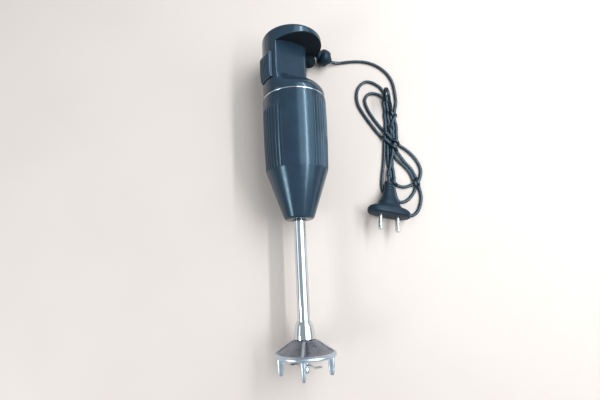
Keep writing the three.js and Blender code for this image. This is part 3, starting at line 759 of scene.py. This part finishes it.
def housing_rows():
    """Outer stations of the housing, close together where its corners and the flutes' ends are."""
    rounded = filleted(HOUSING_OUTLINE, [0, 1.2, 3, 6, 20, 60, 60, 30, 0], False, 6)
    ys = {round(y, 3) for _, y in rounded}
    ys |= {EDGE_Y + 0.3 * k for k in range(-2, 9)}
    ys |= {top - 1.8 + 0.28 * k for _, _, top in FLUTE_GROUPS for k in range(8)}
    ys |= {26 + 5 * k for k in range(12)}
    ys |= {round(LIP_BOTTOM + 5 + 7 * k, 3) for k in range(6)}
    ys = sorted(y for y in ys if LIP_BOTTOM <= y <= RING_BOTTOM - GAP)

    def reach(y):
        for (r0, y0), (r1, y1) in zip(rounded, rounded[1:]):
            if y <= y1 + 1e-6:
                return r0 + (r1 - r0) * (y - y0) / max(1e-6, y1 - y0)
        return rounded[-1][0]

    return [(reach(y), y) for y in ys]


def flute_depth(degrees, y, reach):
    """How deep the flutes are at a point of the housing's outside."""
    deepest = 0
    for centre, count, top in FLUTE_GROUPS:
        off = (degrees - centre + 180) % 360 - 180
        if abs(off) > (count + 0.5) * FLUTE_PITCH:
            continue
        shift = 0.5 if count % 1 else 0
        nearest = (round(off / FLUTE_PITCH - shift) + shift) * FLUTE_PITCH
        across = math.radians(off - nearest) * reach
        past = max(0, y - (top - FLUTE_R), EDGE_Y + FLUTE_R - y)
        inside = FLUTE_R ** 2 - across ** 2 - past ** 2
        if inside > 0:
            deepest = max(deepest, soft_max(0, math.sqrt(inside) - (FLUTE_R - FLUTE_DEPTH), 0.22) - 0.055)
    return deepest


def add_housing():
    angles, a = [], 0.0
    while a < 359.9:
        angles.append(a)
        fine = any(abs((a - c + 180) % 360 - 180) < (n + 0.6) * FLUTE_PITCH for c, n, _ in FLUTE_GROUPS)
        a += 0.44 if fine else 1.6
    outer = housing_rows()
    inner = [
        (32.9 - WALL, RING_BOTTOM - GAP), (31 - WALL, EDGE_Y + 1), (14.6, -17), (TUBE_R + GAP, -17),
        (TUBE_R + GAP, LIP_BOTTOM + 0.5), (TUBE_R + GAP + 0.5, LIP_BOTTOM),
    ]
    points = []
    for k, (r, y) in enumerate(outer + inner):
        for degrees in angles:
            reach = r - flute_depth(degrees, y, r) if k < len(outer) else r
            turn = math.radians(degrees)
            points.append((reach * math.cos(turn), y, reach * math.sin(turn)))
    faces = grid_faces(len(outer) + len(inner), len(angles), True, True)
    piece = made("motor_barrel", points, faces, CASING, "casing", "gloss_black", 50)
    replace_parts(piece, "motor_housing")


# ---- Shaft tube, ferrule, guard and blade --------------------------------------------------------
def add_tube():
    outline = filleted([
        (TUBE_R - 1, GUARD_TOP - 8), (TUBE_R, GUARD_TOP - 8), (TUBE_R, -12), (TUBE_R - 1, -12),
    ], 0.25)
    piece = made("chromed_tube", *turned(outline, 96), PLACED, "casing", "chrome")
    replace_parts(piece, "shaft_tube")
    outline = filleted([
        (TUBE_R + GAP, FERRULE_TOP), (6.9, FERRULE_TOP), (8.4, FERRULE_TOP - 3.2), (8.6, -127.4),
        (9.7, -134.4), (9.9, GUARD_TOP + GAP), (TUBE_R + GAP, GUARD_TOP + GAP),
    ], [0, 0.5, 1.2, 2, 4, 0.4, 0])
    piece = made("ferrule_collar", *turned(outline, 96), PLACED, "casing", "chrome")
    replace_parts(piece, "ferrule")


def guard_leg():
    """One leg of the guard, tapering to its tip."""
    stations = [
        (-150.6, 20.2, 26.8, 2.4), (-154, 20.2, 26.6, 2.3), (-158, 20.2, 26.4, 2.2),
        (-162, 20.4, 26.2, 2), (-166, 20.7, 25.9, 1.8), (LEG_TIP + 1.2, 21.2, 25.4, 1.5),
        (LEG_TIP + 0.4, 21.7, 25, 1.25), (LEG_TIP, 22.4, 24.4, 0.8),
    ]
    points, count = [], 24
    for y, inner, outer, half in stations:
        for k in range(count):
            a = 2 * math.pi * k / count
            wide = (outer - inner) / 2
            r = (abs(math.cos(a) / wide) ** 3.4 + abs(math.sin(a) / half) ** 3.4) ** (-1 / 3.4)
            points.append((23.3 + r * math.cos(a), y, r * math.sin(a)))
    faces = grid_faces(len(stations), count, False, True)
    faces += [tuple(range(count)), tuple(range((len(stations) - 1) * count, len(stations) * count))]
    return points, faces


def add_guard():
    bell = filleted([
        (TUBE_R + GAP, GUARD_TOP), (10.2, GUARD_TOP), (12.1, -139.8), (17, -143.7), (23.2, -147.8),
        (27.4, RIM_TOP + 0.5), (GUARD_R, RIM_TOP - 0.6), (GUARD_R, RIM_BOTTOM + 0.5),
        (GUARD_R - 0.6, RIM_BOTTOM), (26, RIM_BOTTOM), (24, -151.2), (16, -146.2), (10.4, -143.6),
        (9, -145), (9, -153), (TUBE_R + GAP, -153),
    ], [0, 0.5, 2, 6, 6, 1.6, 0.8, 0.4, 0.5, 0.5, 1.5, 4, 1, 1, 0.4, 0])
    shapes = [turned(bell, 128)]
    rib = turned([(0, -8.8), (1.5, -8.8), (1.15, 8.8), (0, 8.8)], 20)
    lean = Matrix.Translation((18.9, -145, 0))
    lean = lean @ Matrix.Rotation(math.pi / 2 - math.atan2(10.6, 15.5), 4, "Z")
    for k in range(4):
        quarter = Matrix.Rotation(k * math.pi / 2, 4, "Y")
        shapes.append(shifted(guard_leg(), quarter))
        shapes.append(shifted(rib, quarter @ lean))
    turn = PLACED @ Matrix.Rotation(-math.pi / 2 - GUARD_TURN, 4, "Y")
    piece = made("cast_guard", *merged(*shapes), turn, "casing", "aluminium")
    remesh = piece.modifiers.new("cast", "REMESH")
    remesh.mode = "VOXEL"
    remesh.voxel_size = 0.42 * MM
    even = piece.modifiers.new("even", "SMOOTH")
    even.factor = 0.5
    even.iterations = 4
    applied(piece)
    smooth(piece, 60)
    piece.data.materials.append(MATERIALS["bright_aluminium"])
    upright = turn.inverted()
    for face in piece.data.polygons:
        spot = upright @ (face.center / MM)
        at_rim = spot.y < RIM_TOP or math.hypot(spot.x, spot.z) > GUARD_R - 2.2
        on_rib = min(abs(spot.x), abs(spot.z)) < 0.9 and face.normal.y > 0.2
        if at_rim or on_rib:
            face.material_index = 1
    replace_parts(piece, "blade_guard")


def add_blade():
    bore_r = SPINDLE_R + GAP
    thin, thick = 0.12, 0.6  # half thickness at the honed edges, and elsewhere
    # Cross-stations along the wings: position, height of the middle, half width.
    stations = [
        (-16.5, 3.2, 2.6), (-15.6, 3.2, 3.3), (-9.4, 3.2, 3.4), (-8.2, 2.7, 3.4), (-5.6, 0.5, 3.4),
        (-4.6, 0, 3.5), (0, 0, 4.2), (4.6, 0, 3.5), (5.6, -0.5, 3.4), (8.2, -2.7, 3.4), (9.4, -3.2, 3.4),
        (15.6, -3.2, 3.3), (16.5, -3.2, 2.6),
    ]
    rows = []
    for x, y, half in stations:
        edge = thin if abs(x) > 8 else thick
        flat = half - 1.5
        rows.append([
            (x, y - thick, -flat), (x, y - edge, -half), (x, y + edge, -half), (x, y + thick, -flat),
            (x, y + thick, flat), (x, y + edge, half), (x, y - edge, half), (x, y - thick, flat),
        ])
    points = [p for row in rows for p in row]
    faces = grid_faces(len(rows), 8, False, True)
    faces += [tuple(range(8)), tuple(range(len(points) - 8, len(points)))]
    turn = PLACED @ Matrix.Translation((0, BLADE_Y, 0)) @ Matrix.Rotation(BLADE_TURN, 4, "Y")
    piece = made("honed_blade", points, faces, turn, "rotor", "steel", 25)
    bore = turned([(0, -3), (bore_r, -3), (bore_r, 3), (0, 3)], 32)
    carved(piece, *bore, turn)
    smooth(piece, 25)
    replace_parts(soften(piece, 0.12, 30), "blade")

    outline = filleted([(bore_r, BLADE_Y + 1), (3.2, BLADE_Y + 1), (3.2, -152.1), (bore_r, -152.1)], 0.2)
    piece = made("spindle_spacer", *turned(outline, 48), PLACED, "rotor", "steel")
    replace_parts(piece, "blade_spacer")

    outline = filleted([
        (0, BLADE_Y - 6.4), (3, BLADE_Y - 6.4), (3.7, BLADE_Y - 5.6), (3.7, BLADE_Y - 1),
        (bore_r, BLADE_Y - 1), (bore_r, BLADE_Y - 5.5), (0, BLADE_Y - 5.5),
    ], [0, 0.5, 0.4, 0.3, 0, 0, 0])
    piece = made("cap_nut", *turned(outline, 48), PLACED, "rotor", "chrome")
    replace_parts(piece, "blade_nut")


# ---- Strain relief and plug ----------------------------------------------------------------------
RELIEF_START = (27.8, 165.4, -17.4)
RELIEF_END = (43.6, 163, -27.4)


def add_strain_relief():
    outline = filleted([
        (2.05, 0.8), (3.9, 0.8), (3.6, 3.6), (6.8, 4.4), (8.9, 6.6), (9.3, 9.5), (9.1, 13), (8.2, 14.6),
        (6.6, 14.8), (6.4, 16.2), (4.6, 17), (3.4, 19.6), (2.05, 19.6),
    ], [0, 0.4, 1, 1.2, 2, 4, 1.2, 0.6, 0.3, 0.6, 0.6, 0.8, 0])
    place = PLACED @ along(RELIEF_START, RELIEF_END)
    piece = made("cord_sleeve", *turned(outline, 64), place, "casing", "soft_black")
    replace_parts(piece, "strain_relief")
    return piece


PLUG_AT = (94.8, -22.2, 12.7)
PLUG_LIFT, PLUG_HEADING, PLUG_ROLL = 13, -8, -12
PLUG_LENGTH, PLUG_FACE = 38, 1.4
PIN_R, PIN_ROOT, PIN_TIP, PIN_OFFSET = 2.4, -9.5, 18.5, 9.5
# Half width and half height of the plug at stations from the cord's end to the face.
PLUG_WIDE = [
    (-38, 4.4), (-34, 4.8), (-30, 5.4), (-22, 7.2), (-17, 9.4), (-13.7, 11.4), (-9.6, 13.6), (-8.2, 15.4),
    (-7, 19), (-6, 21.6), (-4.6, 23), (-2.4, 23.5), (0, 23.4), (0.9, 22.9), (1.4, 21.8),
]
PLUG_HIGH = [
    (-38, 3.7), (-34, 4.1), (-30, 4.5), (-22, 5.2), (-17, 6), (-13.7, 6.6), (-9.6, 7.1), (-8.2, 7.4),
    (-7, 7.9), (-6, 8.4), (-4.6, 8.8), (-2.4, 9), (0, 9), (0.9, 8.7), (1.4, 8),
]


def add_plug():
    radians = [math.radians(v) for v in (PLUG_HEADING - 90, -PLUG_LIFT, PLUG_ROLL)]
    turn = Matrix.Identity(4)
    for angle, axis in zip(radians, "ZYX"):
        turn = turn @ Matrix.Rotation(angle, 4, axis)
    place = Matrix.Translation(PLUG_AT) @ turn
    spots, s = [], -PLUG_LENGTH
    while s < PLUG_FACE:
        spots.append(s)
        s += 0.45 if s < -24 or s > -9 else 0.8
    spots.append(PLUG_FACE)
    count, points = 72, []
    for s in spots:
        wide, high = between(s, PLUG_WIDE), between(s, PLUG_HIGH)
        power = 2.2 + 0.5 * min(1, max(0, (s + 9) / 3))
        if -36.5 < s < -26:
            rib = 0.6 * (1 - math.cos(2 * math.pi * (s + 36.5) / 3.5)) / 2
            wide, high = wide - rib, high - rib
        for k in range(count):
            a = 2 * math.pi * k / count
            r = (abs(math.cos(a) / wide) ** power + abs(math.sin(a) / high) ** power) ** (-1 / power)
            points.append((s, r * math.cos(a), r * math.sin(a)))
    faces = grid_faces(len(spots), count, False, True)
    faces += [tuple(range(count)), tuple(range(len(points) - count, len(points)))]
    body = made("plug_moulding", points, faces, place, "casing", "soft_black")
    hole = turned([(0, PIN_ROOT - 0.5), (PIN_R + 0.1, PIN_ROOT - 0.5), (PIN_R + 0.1, 4), (0, 4)], 32)
    outline = filleted([
        (0, PIN_ROOT), (PIN_R, PIN_ROOT), (PIN_R, PIN_TIP), (0, PIN_TIP),
    ], [0, 0.3, 1.3, 0], False, 8)
    pieces = [body]
    for k, side in enumerate((-PIN_OFFSET, PIN_OFFSET)):
        socket = place @ along((0, side, 0), (1, side, 0))
        carved(body, *hole, socket)
        pin = made(f"round_pin_{k + 1}", *turned(outline, 48), socket, "casing", "nickel")
        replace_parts(pin, f"plug_pin_{k + 1}")
        pieces.append(pin)
    smooth(body)
    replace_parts(soften(body, 0.25), "plug_body")
    return pieces


# ---- Cord ----------------------------------------------------------------------------------------
# The cord's route, given in metres: the lead, then the folded bundle, up to the plug.
ROUTE = [
    (0.0442, 0.1630, 0.0057), (0.0471, 0.1620, 0.0044), (0.0520, 0.1619, 0.0027), (0.0598, 0.1626, 0.0021),
    (0.0676, 0.1633, 0.0021), (0.0764, 0.1634, 0.0021), (0.0852, 0.1624, 0.0021), (0.0941, 0.1596, 0.0021),
    (0.1021, 0.1549, 0.0021), (0.1091, 0.1482, 0.0021), (0.1138, 0.1408, 0.0021), (0.1165, 0.1330, 0.0021),
    (0.1175, 0.1250, 0.0021), (0.1180, 0.1150, 0.0022), (0.1174, 0.1070, 0.0030), (0.1140, 0.0945, 0.0050),
    (0.1100, 0.0807, 0.0050), (0.1067, 0.0700, 0.0050), (0.1037, 0.0563, 0.0050), (0.1022, 0.0430, 0.0050),
    (0.1030, 0.0300, 0.0050), (0.1042, 0.0200, 0.0045), (0.1061, 0.0135, 0.0035), (0.1114, 0.0103, 0.0025),
    (0.1175, 0.0088, 0.0020), (0.1253, 0.0110, 0.0020), (0.1319, 0.0140, 0.0020), (0.1363, 0.0215, 0.0020),
    (0.1371, 0.0295, 0.0020), (0.1336, 0.0390, 0.0020), (0.1268, 0.0484, 0.0025), (0.1185, 0.0556, 0.0040),
    (0.1098, 0.0630, 0.0080), (0.1021, 0.0730, 0.0080), (0.0953, 0.0825, 0.0050), (0.0901, 0.0910, 0.0025),
    (0.0851, 0.1010, 0.0020), (0.0821, 0.1125, 0.0020), (0.0846, 0.1188, 0.0020), (0.0896, 0.1220, 0.0020),
    (0.0961, 0.1210, 0.0020), (0.1024, 0.1177, 0.0020), (0.1071, 0.1130, 0.0022), (0.1096, 0.1040, 0.0025),
    (0.1111, 0.0920, 0.0025), (0.1111, 0.0800, 0.0025), (0.1106, 0.0660, 0.0025), (0.1094, 0.0540, 0.0025),
    (0.1100, 0.0450, 0.0025), (0.1133, 0.0393, 0.0022), (0.1190, 0.0335, 0.0020), (0.1237, 0.0280, 0.0022),
    (0.1284, 0.0170, 0.0050), (0.1294, 0.0080, 0.0050), (0.1254, 0.0003, 0.0030), (0.1187, -0.0061, 0.0022),
    (0.1120, -0.0080, 0.0022), (0.1084, -0.0058, 0.0022), (0.1067, 0.0010, 0.0022), (0.1060, 0.0110, 0.0025),
    (0.1060, 0.0300, 0.0035), (0.1063, 0.0460, 0.0050), (0.1075, 0.0620, 0.0050), (0.1086, 0.0800, 0.0050),
    (0.1084, 0.0980, 0.0050), (0.1066, 0.1140, 0.0050), (0.1046, 0.1230, 0.0035), (0.1026, 0.1271, 0.0025),
    (0.0983, 0.1317, 0.0020), (0.0920, 0.1356, 0.0020), (0.0854, 0.1369, 0.0020), (0.0791, 0.1333, 0.0020),
    (0.0746, 0.1262, 0.0020), (0.0731, 0.1162, 0.0020), (0.0746, 0.1070, 0.0020), (0.0784, 0.0985, 0.0020),
    (0.0836, 0.0890, 0.0025), (0.0899, 0.0788, 0.0060), (0.0958, 0.0700, 0.0090), (0.1025, 0.0628, 0.0100),
    (0.1095, 0.0546, 0.0090), (0.1152, 0.0462, 0.0060), (0.1216, 0.0356, 0.0050), (0.1280, 0.0260, 0.0050),
    (0.1311, 0.0150, 0.0050), (0.1335, 0.0061, 0.0030), (0.1344, -0.0029, 0.0020), (0.1320, -0.0129, 0.0020),
    (0.1272, -0.0205, 0.0018), (0.1205, -0.0232, 0.0015), (0.1130, -0.0205, 0.0014),
    (0.1060, -0.0150, 0.0014), (0.0990, -0.0080, 0.0014), (0.0946, 0.0000, 0.0014), (0.0928, 0.0095, 0.0016),
    (0.0935, 0.0190, 0.0020), (0.0957, 0.0300, 0.0020), (0.0978, 0.0420, 0.0025), (0.0996, 0.0570, 0.0045),
    (0.1014, 0.0690, 0.0060), (0.1032, 0.0800, 0.0068), (0.1039, 0.0930, 0.0072), (0.1041, 0.1058, 0.0075),
    (0.1038, 0.1130, 0.0088), (0.1034, 0.1175, 0.0120), (0.1032, 0.1190, 0.0162), (0.1034, 0.1172, 0.0202),
    (0.1042, 0.1130, 0.0219), (0.1053, 0.1085, 0.0199), (0.1068, 0.1048, 0.0156), (0.1088, 0.1010, 0.0112),
    (0.1110, 0.0960, 0.0074), (0.1127, 0.0890, 0.0048), (0.1138, 0.0800, 0.0035), (0.1126, 0.0660, 0.0060),
    (0.1080, 0.0500, 0.0085), (0.1040, 0.0350, 0.0080), (0.1013, 0.0250, 0.0055), (0.1003, 0.0185, 0.0046),
    (0.0998, 0.0140, 0.0043),
]
FIXED_START, FIXED_END = 6, 4  # samples held where the cord meets its sleeve and its plug
STANDING = 0.0105  # the top fold stands on its edge above this height
STIFFNESS, EVENING, HOLD, WEIGHT = 0.16, 0.05, 0.06, 0.00006  # how much each moves the cord in a round
CLEARANCE = 1.03  # strands keep this many cord widths apart
NEIGHBOURS = 5  # samples this close along the cord don't push each other


def smooth_route(spots, step):
    """Even samples along a smooth curve through the given points."""
    p = np.array(spots)
    fine = []
    for k in range(len(p) - 1):
        a, b, c, d = p[max(k - 1, 0)], p[k], p[k + 1], p[min(k + 2, len(p) - 1)]
        for t in np.arange(0, 1, 0.05):
            fine.append(0.5 * (2 * b + (c - a) * t + (2 * a - 5 * b + 4 * c - d) * t ** 2
                               + (3 * b - a - 3 * c + d) * t ** 3))
    fine.append(p[-1])
    return resampled(np.array(fine), step)


def resampled(line, step):
    """The same line with its points a step apart."""
    lengths = np.r_[0, np.cumsum(np.linalg.norm(np.diff(line, axis=0), axis=1))]
    count = int(round(lengths[-1] / step))
    marks = np.linspace(0, lengths[-1], count + 1)
    return np.column_stack([np.interp(marks, lengths, line[:, k]) for k in range(3)])


def settled(line, wide, thick, rounds):
    """Let the cord lie: it keeps off itself and the table, its bends ease, and its weight brings it down."""
    target = line.copy()
    p = line.copy()
    count = len(p)
    order = np.arange(count)
    apart = np.abs(order[:, None] - order[None, :]) > NEIGHBOURS
    stretch = np.array([1, 1, wide / thick])
    free = np.ones(count, bool)
    free[:FIXED_START] = False
    free[-FIXED_END:] = False
    free[target[:, 2] > STANDING] = False
    for _ in range(rounds):
        step = np.zeros_like(p)
        step[2:-2] += STIFFNESS * ((p[1:-3] + p[3:-1]) / 2 * 4 / 3 - (p[:-4] + p[4:]) / 2 / 3 - p[2:-2])
        step[1:-1] += EVENING * ((p[:-2] + p[2:]) / 2 - p[1:-1])
        step[:, :2] += HOLD * (target[:, :2] - p[:, :2])
        step[:, 2] -= WEIGHT
        p[free] += step[free]
        for _ in range(2):
            gap = (p[:, None, :] - p[None, :, :]) * stretch
            size = np.linalg.norm(gap, axis=2)
            near = apart & (size < wide * CLEARANCE)
            if near.any():
                push = np.where(near, (wide * CLEARANCE - size) / np.maximum(size, 1e-6), 0)[..., None] * gap
                move = push.sum(1) / np.maximum(near.sum(1), 1)[:, None] * 0.5
                move[:, 2] *= 1.2
                p[free] += move[free] / stretch
            p[free, 2] = np.maximum(p[free, 2], thick / 2 + 0.0001)
    return p


def flat_cord(line, wide, thick):
    """A flat twin cord: two round cores side by side, swept along the line, lying flat."""
    count, points = 20, []
    ahead = np.gradient(line, axis=0)
    ahead /= np.linalg.norm(ahead, axis=1)[:, None]
    for spot, way in zip(line, ahead):
        side = np.cross(way, (0, 0, 1))
        side /= max(np.linalg.norm(side), 1e-6)
        upward = np.cross(side, way)
        for k in range(count):
            a = 2 * math.pi * k / count
            across, high = math.cos(a), math.sin(a)
            waist = 1 - 0.16 * math.exp(-(across / 0.22) ** 2)
            off = side * across * wide / 2 + upward * high * thick / 2 * waist
            points.append(tuple((spot + off) / MM))
    faces = grid_faces(len(line), count, False, True)
    faces += [tuple(range(count)), tuple(range(len(points) - count, len(points)))]
    return points, faces


def add_cord():
    wide, thick = CORD_WIDE * MM, CORD_THICK * MM
    line = settled(smooth_route(ROUTE, 0.002), wide, thick, 160)
    line = smooth_route(line, 0.001)
    piece = made("mains_cord", *flat_cord(line, wide, thick), WORLD, "casing", "soft_black", 60)
    piece.data.materials[0] = MATERIALS["cord_black"]
    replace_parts(piece, "power_cord", "cord_hank")
    return piece, line


# ---- Everything inside ---------------------------------------------------------------------------
def finish_inner_nodes():
    """Give each CAD node that still shows the material of its slot."""
    slots = {m["node"]: m["material_slot"] for m in frame["record"]["subparts"] if "material_slot" in m}
    for name, node in frame["nodes"].items():
        if node.hide_render:
            continue
        look = slots[name]
        node.data.materials.clear()
        node.data.materials.append(MATERIALS[look])


# ---- Floor, light and world ----------------------------------------------------------------------
def add_floor():
    s = Shader("pale_floor", (0.65, 0.545, 0.49), 0, 0.6)
    s.tint(9, (0.64, 0.535, 0.48), (0.66, 0.555, 0.5))
    s.bump(s.noise(500, 3), 0.04, 0.0002)
    mesh = bpy.data.meshes.new("floor")
    mesh.from_pydata([(-3, -3, 0), (3, -3, 0), (3, 3, 0), (-3, 3, 0)], [], [(0, 1, 2, 3)])
    floor = bpy.data.objects.new("floor", mesh)
    floor.data.materials.append(s.material)
    bpy.context.scene.collection.objects.link(floor)


def add_softbox(name, degrees, distance, size, colour, energy, y=0.0):
    """A rectangular light, leaning to the right of upright by some degrees, aimed at the blender."""
    data = bpy.data.lights.new(name, "AREA")
    data.shape = "RECTANGLE"
    data.size, data.size_y = size
    data.color = colour
    data.energy = energy
    light = bpy.data.objects.new(name, data)
    lean = math.radians(degrees)
    light.location = (distance * math.sin(lean), y, distance * math.cos(lean))
    light.rotation_euler = (0, lean, 0)
    bpy.context.scene.collection.objects.link(light)


def add_light():
    add_softbox("overhead", 39, 1.0, (1.05, 1.4), (0.8, 0.93, 1.0), 9, 0.35)
    add_softbox("ramp", 27, 1.0, (0.55, 1.4), (0.8, 0.93, 1.0), 2.3, 0.35)
    add_softbox("strip", 37, 0.95, (0.045, 1.3), (0.88, 0.96, 1.0), 7, 0.3)
    add_softbox("left_patch", -52, 0.9, (0.2, 0.3), (0.85, 0.96, 1.0), 2.6, -0.36)
    add_softbox("left_fill", -58, 1.1, (0.3, 1.2), (0.85, 0.96, 1.0), 1.6)
    world = bpy.data.worlds.new("studio")
    world.use_nodes = True
    back = world.node_tree.nodes["Background"]
    back.inputs[0].default_value = (0.86, 0.94, 1.0, 1)
    back.inputs[1].default_value = 0.46
    bpy.context.scene.world = world
    bpy.context.scene.view_settings.view_transform = "Standard"


# ---- The scene -----------------------------------------------------------------------------------
add_camera()
cord, cord_line = add_cord()
sleeve = add_strain_relief()
plug_pieces = add_plug()
add_handle()
add_screws()
add_trigger()
add_trim_ring()
add_housing()
add_tube()
add_guard()
add_blade()
finish_inner_nodes()
add_floor()
add_light()
